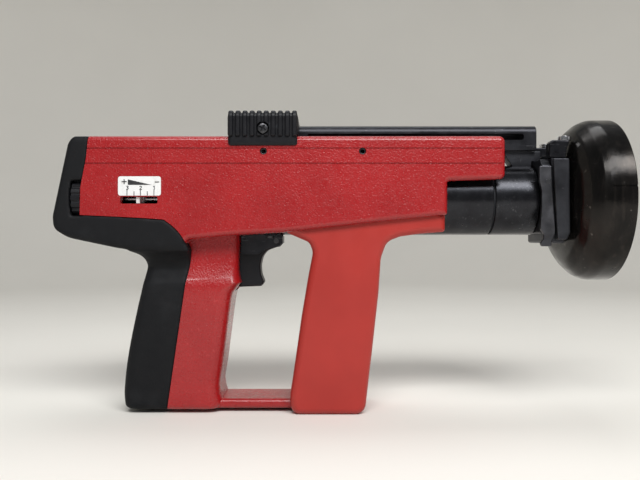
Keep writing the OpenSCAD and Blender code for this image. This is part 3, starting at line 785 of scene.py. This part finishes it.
def side_cutters(side):
    """What only one half has: the plate's pocket and window, or the screw holes."""
    if side < 0:
        plate = [(-300.95, 1.25, 1.6), (-275.05, 1.25, 1.6), (-275.05, 13.05, 1.6), (-300.95, 13.05, 1.6)]
        pocket = rounded_slab("pocket", plate, -CUT_Y, -27.2, 0.0, 0.0)
        window = [(-299.5, -3.4, 0.8), (-277.2, -3.4, 0.8), (-277.2, 0.9, 0.8), (-299.5, 0.9, 0.8)]
        return [pocket, rounded_slab("window", window, -CUT_Y, -20.0, 0.0, 0.0)]
    cut = [rod("Y", wall - 2.5, 31, 3.1, x, z) for x, z, wall in SCREWS]
    cut += [rod("Y", 3, 31, 1.8, x, z) for x, z, wall in SCREWS]
    return cut


def make_housing():
    full = envelope("housing", True)
    boolean(full, rear_region("rear", 0.0), "DIFFERENCE")
    carve(full, housing_cavities())
    for side, node in ((-1, "housing_right"), (1, "housing_left")):
        half = full.copy()
        half.data = full.data.copy()
        half.name = "shell_right" if side < 0 else "shell_left"
        scene.collection.objects.link(half)
        far = (SEAM, 60) if side > 0 else (-60, -SEAM)
        keep = block((-360, -40), far, (-150, 60))
        boolean(half, keep, "INTERSECT")
        carve(half, side_cutters(side))
        dressed(half, "housing", (M_RED, M_RED_EDGE), node, 38.0)
    bpy.data.objects.remove(full)


def band_blend():
    """Hollow curve between the band's underside and the grip's sides and back."""
    rows = [(-47.0, 16.6, 0.0), (-42.0, 17.4, 0.2), (-39.0, 18.2, 0.9), (-36.5, 19.6, 2.0),
            (-34.5, 21.6, 3.8), (-33.0, 24.0, 6.5), (-31.6, 27.0, 10.0), (-28.0, 27.2, 11.0)]
    rings = []
    for z, half, back in rows:
        outline = [(-250.0, -half, 3.0), (-250.0, half, 3.0), (-286.3 - back, half, 6.0),
                   (-286.3 - back, -half, 6.0)]
        rings.append([(p.x, p.y, z) for p in inset_ring(outline, 0.0, 6)])
    return stacked("blend", rings)


def make_cover():
    cover = envelope("rubber_cover", False)
    add_to(cover, [band_blend()])
    boolean(cover, rear_region("rear", RUBBER_GAP), "INTERSECT")
    cutters = [
        plain_slab("cavity", GRIP_CAVITY, -GRIP_CAVITY_Y, GRIP_CAVITY_Y),
        block(*REAR_ROOM),
        block((-272.1, -258.9), (-9.1, 9.1), (-135, 40)),
        rod("X", -330.1, -320, 13.5, WHEEL_Y, 0.0),
        block((-329.6, -322), (-29, -20), (-10.6, 10.6)),
    ]
    carve(cover, cutters)
    mod = cover.modifiers.new("remesh", "REMESH")
    mod.mode = "VOXEL"
    mod.voxel_size = 0.95 * MM
    mod.adaptivity = 0.0
    soft = cover.modifiers.new("soft", "SMOOTH")
    soft.factor = 0.5
    soft.iterations = 4
    evaluated(cover)
    dressed(cover, "housing", (M_RUBBER,), "grip_cover", 60.0, False)


def make_guard():
    guard = rounded_slab("guard", GUARD, -GUARD_Y, GUARD_Y, 4.2, 4.2, steps=7, segments=7)
    inner = inset_ring(GUARD, WALL, 3)
    hollow = plain_slab("hollow", [(p.x, p.y) for p in inner], -GUARD_Y + WALL, GUARD_Y - WALL)
    boolean(hollow, block((-210, -100), (-CUT_Y, CUT_Y), (-127, -27)), "INTERSECT")
    carve(guard, [
        hollow,
        block((-206, -100), (-GUARD_Y + WALL, GUARD_Y - WALL), (-29, 0)),
        rod("X", -210, -100, BARREL_R + BARREL_GAP, sides=96),
        block((-201, -185), (-16.1, 16.1), (-128.6, -122.7)),
        rod("Z", -140, -126, 1.8, FOOT_SCREW_X, 0.0),
        rod("Z", -140, -128.6, 3.6, FOOT_SCREW_X, 0.0),
    ])
    dressed(guard, "housing", (M_GUARD, M_GUARD), "front_guard", 38.0)


make_housing()
make_cover()
make_guard()


# ---- trigger
def make_trigger():
    corners = [(-205.2, -23.6, 1.2), (-240.3, -27.6, 1.0), (-241, -31, 1.0), (-236, -33.5, 1.0),
               (-232.4, -36, 1.0), (-231, -54.6, 0.8), (-217, -54, 1.2), (-215.2, -51.6, 1.6),
               (-217.2, -46.5, 8.0), (-217.6, -41, 12.0), (-216.4, -35.5, 8.0),
               (-213.6, -31.8, 5.0), (-206, -28.9, 2.0), (-204.6, -27, 1.0)]
    body = rounded_slab("trigger_blade", corners, -7, 7, 1.6, 1.6, steps=5, segments=5)
    add_to(body, [rod("Y", 6, 13.4, 2.0, -238, -30.3)])
    carve(body, [rod("Y", -10, 10, PIN_BORE, *TRIGGER_PIVOT)])
    dressed(body, "trigger", (M_PLASTIC, M_PLASTIC), "trigger")


make_trigger()


# ---- scattered pieces
def scatter_group():
    """Node group that puts a template on every point, turned by the point's own angles."""
    group = bpy.data.node_groups.new("scatter", "GeometryNodeTree")
    face = group.interface
    face.new_socket("Geometry", in_out="INPUT", socket_type="NodeSocketGeometry")
    face.new_socket("Template", in_out="INPUT", socket_type="NodeSocketObject")
    face.new_socket("Finish", in_out="INPUT", socket_type="NodeSocketMaterial")
    face.new_socket("Geometry", in_out="OUTPUT", socket_type="NodeSocketGeometry")
    nodes, links = group.nodes, group.links
    enter = nodes.new("NodeGroupInput")
    leave = nodes.new("NodeGroupOutput")
    info = nodes.new("GeometryNodeObjectInfo")
    turn = nodes.new("GeometryNodeInputNamedAttribute")
    turn.data_type = "FLOAT_VECTOR"
    turn.inputs["Name"].default_value = "turn"
    euler = nodes.new("FunctionNodeEulerToRotation")
    put = nodes.new("GeometryNodeInstanceOnPoints")
    real = nodes.new("GeometryNodeRealizeInstances")
    finish = nodes.new("GeometryNodeSetMaterial")
    links.new(enter.outputs["Template"], info.inputs["Object"])
    links.new(turn.outputs["Attribute"], euler.inputs["Euler"])
    links.new(enter.outputs["Geometry"], put.inputs["Points"])
    links.new(info.outputs["Geometry"], put.inputs["Instance"])
    links.new(euler.outputs["Rotation"], put.inputs["Rotation"])
    links.new(put.outputs["Instances"], real.inputs["Geometry"])
    links.new(real.outputs["Geometry"], finish.inputs["Geometry"])
    links.new(enter.outputs["Finish"], finish.inputs["Material"])
    links.new(finish.outputs["Geometry"], leave.inputs["Geometry"])
    return group


SCATTER = scatter_group()


def scatter(name, template, places, turns, material):
    """Copies of a template at places in millimetres, made plain; the template is removed."""
    mesh = bpy.data.meshes.new(name)
    mesh.from_pydata([Vector(p) * MM for p in places], [], [])
    layer = mesh.attributes.new("turn", "FLOAT_VECTOR", "POINT")
    for i, turn in enumerate(turns):
        layer.data[i].vector = turn
    made = bpy.data.objects.new(name, mesh)
    scene.collection.objects.link(made)
    mod = made.modifiers.new("scatter", "NODES")
    mod.node_group = SCATTER
    keys = {item.name: item.identifier for item in SCATTER.interface.items_tree if item.in_out == "INPUT"}
    mod[keys["Template"]] = template
    mod[keys["Finish"]] = material
    evaluated(made)
    bpy.data.objects.remove(template)
    return made


def screw_head(radius, height, slot_width):
    """Pan head along +Y with its underside at Y 0."""
    verts, faces = [], []
    profile = [(0.001, height)]
    for k in range(7):
        a = math.pi / 2 * k / 6
        profile.append((radius * 0.45 + radius * 0.55 * math.sin(a), height * (0.45 + 0.55 * math.cos(a))))
    profile += [(radius, 0.0), (0.001, 0.0)]
    sides = 36
    n = len(profile)
    for s in range(sides):
        a = 2 * math.pi * s / sides
        verts += [(r * math.cos(a), y, r * math.sin(a)) for r, y in profile]
    for s in range(sides):
        t = (s + 1) % sides
        faces += [(s * n + k, s * n + k + 1, t * n + k + 1, t * n + k) for k in range(n - 1)]
    head = make_object("head", verts, faces)
    bm = bmesh.new()
    bm.from_mesh(head.data)
    bmesh.ops.remove_doubles(bm, verts=bm.verts, dist=3e-6)
    bmesh.ops.recalc_face_normals(bm, faces=bm.faces)
    bm.to_mesh(head.data)
    bm.free()
    reach = radius * 0.66
    low = height * 0.35
    cuts = [block((-reach, reach), (low, height + 1), (-slot_width / 2, slot_width / 2)),
            block((-slot_width / 2, slot_width / 2), (low + 0.01, height + 1), (-reach, reach))]
    return carve(head, cuts)


def make_screws():
    heads = scatter("screw_heads", screw_head(2.9, 2.0, 0.8),
                    [(x, wall - 2.4, z) for x, z, wall in SCREWS],
                    [(0.0, 0.3 * i, 0.0) for i in range(len(SCREWS))], M_SCREW)
    shanks = [rod("Y", -12, wall - 2.35, 1.5, x, z, 24) for x, z, wall in SCREWS]
    screws = joined("casing_screws", [heads] + shanks)
    dressed(screws, "housing", (M_SCREW,), "housing_screws")
    x, z = HANDLE_SCREW
    pair = scatter("handle_heads", screw_head(3.5, 2.0, 0.95),
                   [(x, -CASING_Y, z), (x, CASING_Y, z)],
                   [(math.pi, 0.5, 0.0), (0.0, 0.5, 0.0)], M_SCREW)
    shanks = [rod("Y", s * 17.3 - 10.8, s * 17.3 + 10.8, 1.9, x, z, 24) for s in (-1, 1)]
    screws = joined("knob_screws", [pair] + shanks)
    dressed(screws, "barrel_unit", (M_SCREW,), "handle_screws")


make_screws()


# ---- slide handle and bar
def make_handle():
    x0, x1 = KNOB_X
    body_corners = [(x0, 30.7, 2.2), (x1, 30.7, 2.2), (x1, 51.0, 3.0), (x0, 51.0, 3.0)]
    body = rounded_slab("slide_knob", body_corners, -29.6, 29.6, 2.6, 2.6, steps=6, segments=6)
    pitch = (x1 - x0) / KNOB_RIBS
    outline = [(-31.0, 36.6, 1.0), (-28.5, 36.6, 0.4), (-28.5, 50.0, 1.0), (28.5, 50.0, 1.0),
               (28.5, 36.6, 0.4), (31.0, 36.6, 1.0), (31.0, 52.35, 4.2), (-31.0, 52.35, 4.2)]
    rib = rounded_slab("rib", outline, -1.45, 1.45, 0.9, 0.9, axis="X", steps=5, segments=4)
    places = [(x0 + pitch * (i + 0.5), 0.0, 0.0) for i in range(KNOB_RIBS)]
    ribs = scatter("ribs", rib, places, [(0.0, 0.0, 0.0)] * KNOB_RIBS, M_PLASTIC)
    boolean(body, ribs, "UNION")
    cutters = [
        block((-240, -190), (-28.5, 28.5), (20, 37.9)),
        block((-240, -190), (-8.05, 8.05), (19, 46.75)),
    ]
    for s in (-1, 1):
        cutters.append(rod("Y", s * 30.5 - 2.5, s * 30.5 + 2.5, 3.9, *HANDLE_SCREW))
        cutters.append(rod("Y", s * 16 - 12.5, s * 16 + 12.5, 2.0, *HANDLE_SCREW))
    carve(body, cutters)
    dressed(body, "barrel_unit", (M_PLASTIC,), "slide_handle", 42.0)


def make_bar():
    outer = [(-BAR_Y, 30.8, 0.6), (BAR_Y, 30.8, 0.6), (BAR_Y, 46.65, 4.6), (-BAR_Y, 46.65, 4.6)]
    bar = rounded_slab("draw_bar", outer, *BAR_X, 0.5, 0.5, axis="X", steps=9, segments=3)
    inner = [(-6, 25, 0.2), (6, 25, 0.2), (6, 44.7, 2.8), (-6, 44.7, 2.8)]
    hollow = rounded_slab("hollow", inner, -240, -40, 0.0, 0.0, axis="X", steps=8, segments=1)
    slot_shape = [(-188, 37.5, 0.3), (-52.6, 37.5, 1.9), (-52.6, 41.4, 1.9), (-188, 41.4, 0.3)]
    cutters = [hollow, rounded_slab("slot", slot_shape, -9, -1, 0.0, 0.0, steps=8, segments=1)]
    for x, z in RIVETS:
        cutters.append(rod("Y", -10.1, 10.1, PIN_BORE, x, z))
    cutters.append(rod("Y", -10.2, 10.2, 2.0, *HANDLE_SCREW))
    carve(bar, cutters)
    dressed(bar, "barrel_unit", (M_BAR, M_BAR), "slide_bar", 35.0)


make_handle()
make_bar()


# ---- barrel, nose and shield
def make_barrel():
    barrel = [(-252, 3.5, 0.1), (-252, 6.5, 0.8), (-246, 6.5, 0.1), (-246, 16, 0.8), (-205, 16, 0.1),
              (-205, 21.9, 0.8), (-74.6, 21.9, 0.5), (-74.6, 6, 0.1), (-164, 6, 0.1), (-164, 11, 0.1),
              (-238, 11, 0.1), (-238, 3.5, 0.1)]
    dressed(lathe("barrel_tube", rounded_section(barrel)), "barrel_unit", (M_BARREL,), "barrel",
            35.0)
    collar = [(-73.4, 5, 0.1), (-73.4, 21.9, 0.5), (-46.75, 21.9, 0.6), (-46.75, 5, 0.1)]
    dressed(lathe("collar_tube", rounded_section(collar)), "barrel_unit", (M_BARREL,),
            "barrel_collar", 35.0)
    nose = [(-46.6, 4.1, 0.1), (-46.6, 10, 0.3), (-14, 10, 0.3), (-11, 8, 0.3), (-11, 7.5, 0.1),
            (0, 7.5, 0.7), (0, 4.1, 0.5)]
    dressed(lathe("nose_tube", rounded_section(nose), 96), "barrel_unit", (M_BRIGHT,), "nosepiece",
            35.0)


def make_shield():
    outer = [(0.0, 50.3, 0.5), (-13.0, 50.3, 14.0), (-18.2, 48.0, 6.0), (-23.5, 43.3, 10.0),
             (-27.3, 38.0, 12.0), (-29.6, 31.5, 14.0), (-30.3, 24.0, 6.0), (-30.3, 10.15, 0.3)]
    inner = [(-18.0, 10.15, 0.3), (-18.0, 14.0, 0.5), (-27.3, 14.0, 0.5), (-27.3, 26.0, 8.0),
             (-26.4, 31.5, 8.0), (-24.0, 36.5, 8.0), (-20.0, 42.0, 8.0), (-16.0, 45.8, 6.0),
             (-11.5, 47.3, 8.0), (0.0, 47.3, 0.5)]
    section = rounded_section(outer + inner, 6)
    bell = lathe("spall_bell", section, 160)
    # Fine seam across the outside of the rim
    carve(bell, [block((-14.0, 1.0), (-60.0, -48.9), (5.3, 6.2))])
    dressed(bell, "shield", (M_SHIELD,), "shield", 40.0)


make_barrel()
make_shield()


# ---- nose plate, holder, latch, clip, lug
def make_front():
    plate = [(-20.5, -21, 1.0), (20.5, -21, 1.0), (23.8, -17, 1.5), (23.8, 20, 1.5),
             (19.8, 24, 1.5), (-19.8, 24, 1.5), (-23.8, 20, 1.5), (-23.8, -17, 1.5)]
    body = rounded_slab("front_plate", plate, -46.6, -41.2, 0.6, 0.6, axis="X", steps=4, segments=4)
    carve(body, [rod("X", -50, -40, NOSE_BORE), rod("Y", -CUT_Y, -10, PIN_BORE, *LATCH_PIVOT)])
    dressed(body, "barrel_unit", (M_BLACK, M_BLACK_EDGE), "nose_plate")

    side = [(-40.9, 24.4, 0.8), (-31, 24.4, 1.4), (-30.65, -20.8, 3.0), (-33, -27, 1.6), (-40.9, -27, 1.6)]
    body = rounded_slab("bell_holder", side, -24, 24, 1.2, 1.2, steps=5, segments=5)
    wing = [(-41.3, 23.7, 0.6), (-31.5, 23.7, 1.2), (-31.0, -20.6, 2.0), (-32.9, -24.9, 1.6),
            (-38.5, -24.9, 1.2), (-38.8, -20.3, 1.0)]
    wings = rounded_slab("wings", wing, -29.1, 29.1, 0.8, 0.8, steps=5, segments=4)
    carve(wings, [block((-50, -38.6), (-27.6, 27.6), (-30, 30))])
    add_to(body, [wings])
    carve(body, [rod("X", -50, -20, NOSE_BORE)])
    dressed(body, "barrel_unit", (M_HOLDER, M_HOLDER), "shield_holder", 30.0)

    post = [(-41.2, 24.6, 0.4), (-31.3, 24.6, 0.4), (-30.7, 30, 3.0), (-28.5, 35.5, 0.8),
            (-39.6, 35.5, 1.6), (-41.2, 33.6, 1.6)]
    body = rounded_slab("clip_block", post, -21.9, -14.1, 0.8, 0.8, steps=4, segments=4)
    far = rounded_slab("far_post", post, 14.1, 21.9, 0.8, 0.8, steps=4, segments=4)
    bridge = [(-40.8, 24.6, 0.4), (-32.1, 24.6, 0.4), (-32.1, 27.4, 0.6), (-40.8, 27.4, 0.6)]
    add_to(body, [far, rounded_slab("bridge", bridge, -15, 15, 0.3, 0.3, steps=3, segments=3)])
    dressed(body, "barrel_unit", (M_BLACK, M_BLACK_EDGE), "top_clip")

    side = [(-64, 28.5, 0.5), (-64, 36.5, 1.0), (-47, 36.5, 1.0), (-47, 30.7, 0.5), (-41.2, 30.7, 0.8),
            (-41.2, 24.2, 0.3), (-46.9, 24.2, 0.3), (-46.9, 15, 0.3), (-55, 15, 0.3)]
    body = rounded_slab("lug_plate", side, -5, 5, 0.5, 0.5, steps=3, segments=3)
    cuts = [rod("X", -70, -40, 21.95, sides=96)]
    cuts += [rod("Y", -10, 10, PIN_BORE, x, z) for x, z in RIVETS]
    carve(body, cuts)
    dressed(body, "barrel_unit", (M_HOLDER, M_HOLDER), "slide_lug")

    side = [(-49.0, 19.3, 1.4), (-41.6, 19.3, 0.5), (-41.4, 10, 8.0), (-40.2, -8, 8.0), (-39.3, -18, 2.0),
            (-39.5, -21.5, 2.0), (-41.5, -25.5, 1.5), (-41.7, -28.9, 0.8), (-47.5, -28.9, 1.0),
            (-48.3, -27, 0.8), (-46.7, -25, 0.6), (-46.3, -21.5, 1.5), (-48.1, -18.5, 1.5),
            (-48.2, -15, 3.0), (-47.5, -5, 8.0), (-47.5, 5, 5.0), (-49.0, 11, 5.0)]
    body = rounded_slab("latch_arm", side, -27.2, -24.4, 0.6, 0.6, steps=4, segments=4)
    carve(body, [rod("Y", -CUT_Y, -20, PIN_BORE, *LATCH_PIVOT)])
    dressed(body, "latch_lever", (M_LATCH, M_LATCH_EDGE), "latch_lever")

    rivets = joined("bar_rivets", [rod("Y", -7.95, 7.95, 1.5, x, z, 24) for x, z in RIVETS])
    dressed(rivets, "barrel_unit", (M_BAR,), "lug_rivets")


make_front()


# ---- power scale and wheel
def stroke(points, width, y0=-28.02, y1=-27.9):
    """Flat printed strokes through a row of X and Z points."""
    parts = []
    for (x0, z0), (x1, z1) in zip(points, points[1:]):
        along = Vector((x1 - x0, z1 - z0)).normalized() * width / 2
        side = Vector((-along.y, along.x))
        a, b = Vector((x0, z0)) - along * 0.6, Vector((x1, z1)) + along * 0.6
        outline = [tuple(a - side), tuple(b - side), tuple(b + side), tuple(a + side)]
        parts.append(plain_slab("stroke", outline, y0, y1))
    return parts


def make_scale():
    corners = [(-300.85, 1.35, 1.5), (-275.15, 1.35, 1.5), (-275.15, 12.95, 1.5), (-300.85, 12.95, 1.5)]
    plate = rounded_slab("power_scale", corners, -27.95, -27.25, 0.15, 0.0, steps=6, segments=3)
    dressed(plate, "housing", (M_WHITE, M_WHITE), "scale_plate")
    marks = [plain_slab("wedge", [(-294.9, 11.1), (-294.9, 7.8), (-280.8, 7.8)], -28.02, -27.9)]
    marks += stroke([(-298.4, 9.7), (-295.8, 9.7)], 0.6)
    marks += stroke([(-297.1, 8.4), (-297.1, 11.0)], 0.6)
    marks += stroke([(-278.6, 9.5), (-276.4, 9.5)], 0.6)
    for x, tall in ((-295.4, 3.4), (-291.2, 2.2), (-287.4, 3.4), (-283.3, 2.2), (-279.3, 3.4)):
        marks += stroke([(x, 1.6), (x, 1.6 + tall)], 0.45)
    digits = {
        3: [(-0.6, 0.9), (0.2, 1.0), (0.55, 0.55), (0.0, 0.1), (0.6, -0.4), (0.2, -1.0), (-0.6, -0.9)],
        2: [(-0.6, 0.7), (0.0, 1.0), (0.6, 0.5), (-0.6, -1.0), (0.7, -1.0)],
        1: [(-0.4, 0.6), (0.1, 1.0), (0.1, -1.0)],
    }
    for digit, x in ((3, -295.2), (2, -287.2), (1, -279.2)):
        marks += stroke([(x + u, 6.1 + v) for u, v in digits[digit]], 0.42)
    print_marks = joined("scale_print", marks)
    dressed(print_marks, "housing", (M_INK,), None, weighted=False)


def make_wheel():
    body = bevelled(cad_copy("power_wheel", "setting_wheel"), 0.35, 3)
    dressed(body, "power_wheel", (M_PLASTIC, M_PLASTIC), "power_wheel")
    body = bevelled(cad_copy("power_indicator", "setting_pointer"), 0.2, 2)
    dressed(body, "power_indicator", (M_WHITE, M_WHITE), "power_indicator")


make_scale()
make_wheel()


# ---- the other parts, edges eased
GREY = (M_GREY, M_GREY_EDGE)
BLACK = (M_BLACK, M_BLACK_EDGE)
BRIGHT = (M_BRIGHT, M_BRIGHT)
BUFFER = (M_BUFFER, M_BUFFER)
EASED = {
    "cross_pins": ("roll_pins", 0.3, (M_SCREW, M_SCREW_EDGE)),
    "guard_screw": ("foot_screw", 0.25, (M_SCREW, M_SCREW_EDGE)),
    "strip_guide": ("strip_tube", 0.25, GREY),
    "trigger_bracket": ("trigger_cheeks", 0.3, BLACK),
    "clip_screws": ("clip_bolts", 0.4, BRIGHT),
    "latch_pin": ("latch_bolt", 0.2, (M_SCREW, M_SCREW)),
    "piston": ("driver", 0.4, BRIGHT),
    "contact_sleeve": ("sleeve", 0.5, BRIGHT),
    "guide_saddle": ("saddle", 0.4, (M_BRONZE, M_BRONZE)),
    "joint_ring": ("seal_ring", 0.2, BUFFER),
    "rear_plate": ("back_plate", 0.5, GREY),
    "breech_plate": ("breech", 0.5, GREY),
    "sear": ("sear_lever", 0.3, GREY),
    "feed_pawl": ("pawl", 0.3, GREY),
    "pin_housing": ("pin_tube", 0.4, GREY),
    "shield_ring": ("bell_ring", 0.6, BUFFER),
    "firing_pin": ("striker", 0.3, BRIGHT),
    "spring_seat": ("seat_plate", 0.4, GREY),
}
BODY_OF = {node: body for body, nodes in frame["record"]["behaviour"]["bodies"].items() for node in nodes}
for node, (name, width, finish) in EASED.items():
    piece = bevelled(cad_copy(node, name), width, 2)
    dressed(piece, BODY_OF[node], finish, node)


# ---- floor and light
def make_stage():
    floor_z = cad_low.z / MM
    profile = [(0.1, 0.0), (1200.0, 0.0)]
    for k in range(1, 13):
        a = math.pi / 2 * k / 12
        profile.append((1200.0 + 800.0 * math.sin(a), 800.0 * (1 - math.cos(a))))
    profile.append((2000.0, 1900.0))
    sides = 96
    verts, faces = [], []
    for s in range(sides):
        a = 2 * math.pi * s / sides
        rise = min(1.0, max(0.0, math.sin(a) * 2.2 + 0.75))
        verts += [(-180 + r * math.cos(a), r * math.sin(a), floor_z + h * rise) for r, h in profile]
    n = len(profile)
    for s in range(sides):
        t = (s + 1) % sides
        faces += [(s * n + k, t * n + k, t * n + k + 1, s * n + k + 1) for k in range(n - 1)]
    floor = make_object("floor", verts, faces)
    floor.data.materials.append(M_FLOOR)
    for poly in floor.data.polygons:
        poly.use_smooth = True


def area_light(name, place, target, size, depth, power, colour):
    data = bpy.data.lights.new(name, "AREA")
    data.shape = "RECTANGLE"
    data.size = size
    data.size_y = depth
    data.energy = power
    data.color = colour
    lamp = bpy.data.objects.new(name, data)
    lamp.location = place
    aim = Vector(target) - Vector(place)
    lamp.rotation_euler = aim.to_track_quat("-Z", "Y").to_euler()
    scene.collection.objects.link(lamp)


make_stage()
TOOL = (-0.17, 0.0, -0.02)
area_light("key", (0.02, -0.92, 1.02), TOOL, 1.3, 0.4, 20.0, (0.985, 0.985, 0.985))
area_light("strip", (0.12, -1.0, 0.74), TOOL, 1.1, 0.12, 3.4, (0.94, 0.97, 1.0))
area_light("back", (-0.2, 0.5, 1.5), TOOL, 1.2, 0.6, 7.0, (0.96, 0.98, 1.0))
world = bpy.data.worlds.new("world")
world.use_nodes = True
world.node_tree.nodes["Background"].inputs["Color"].default_value = (0.93, 0.96, 1.0, 1.0)
world.node_tree.nodes["Background"].inputs["Strength"].default_value = 0.2
scene.world = world
scene.view_settings.view_transform = "Standard"
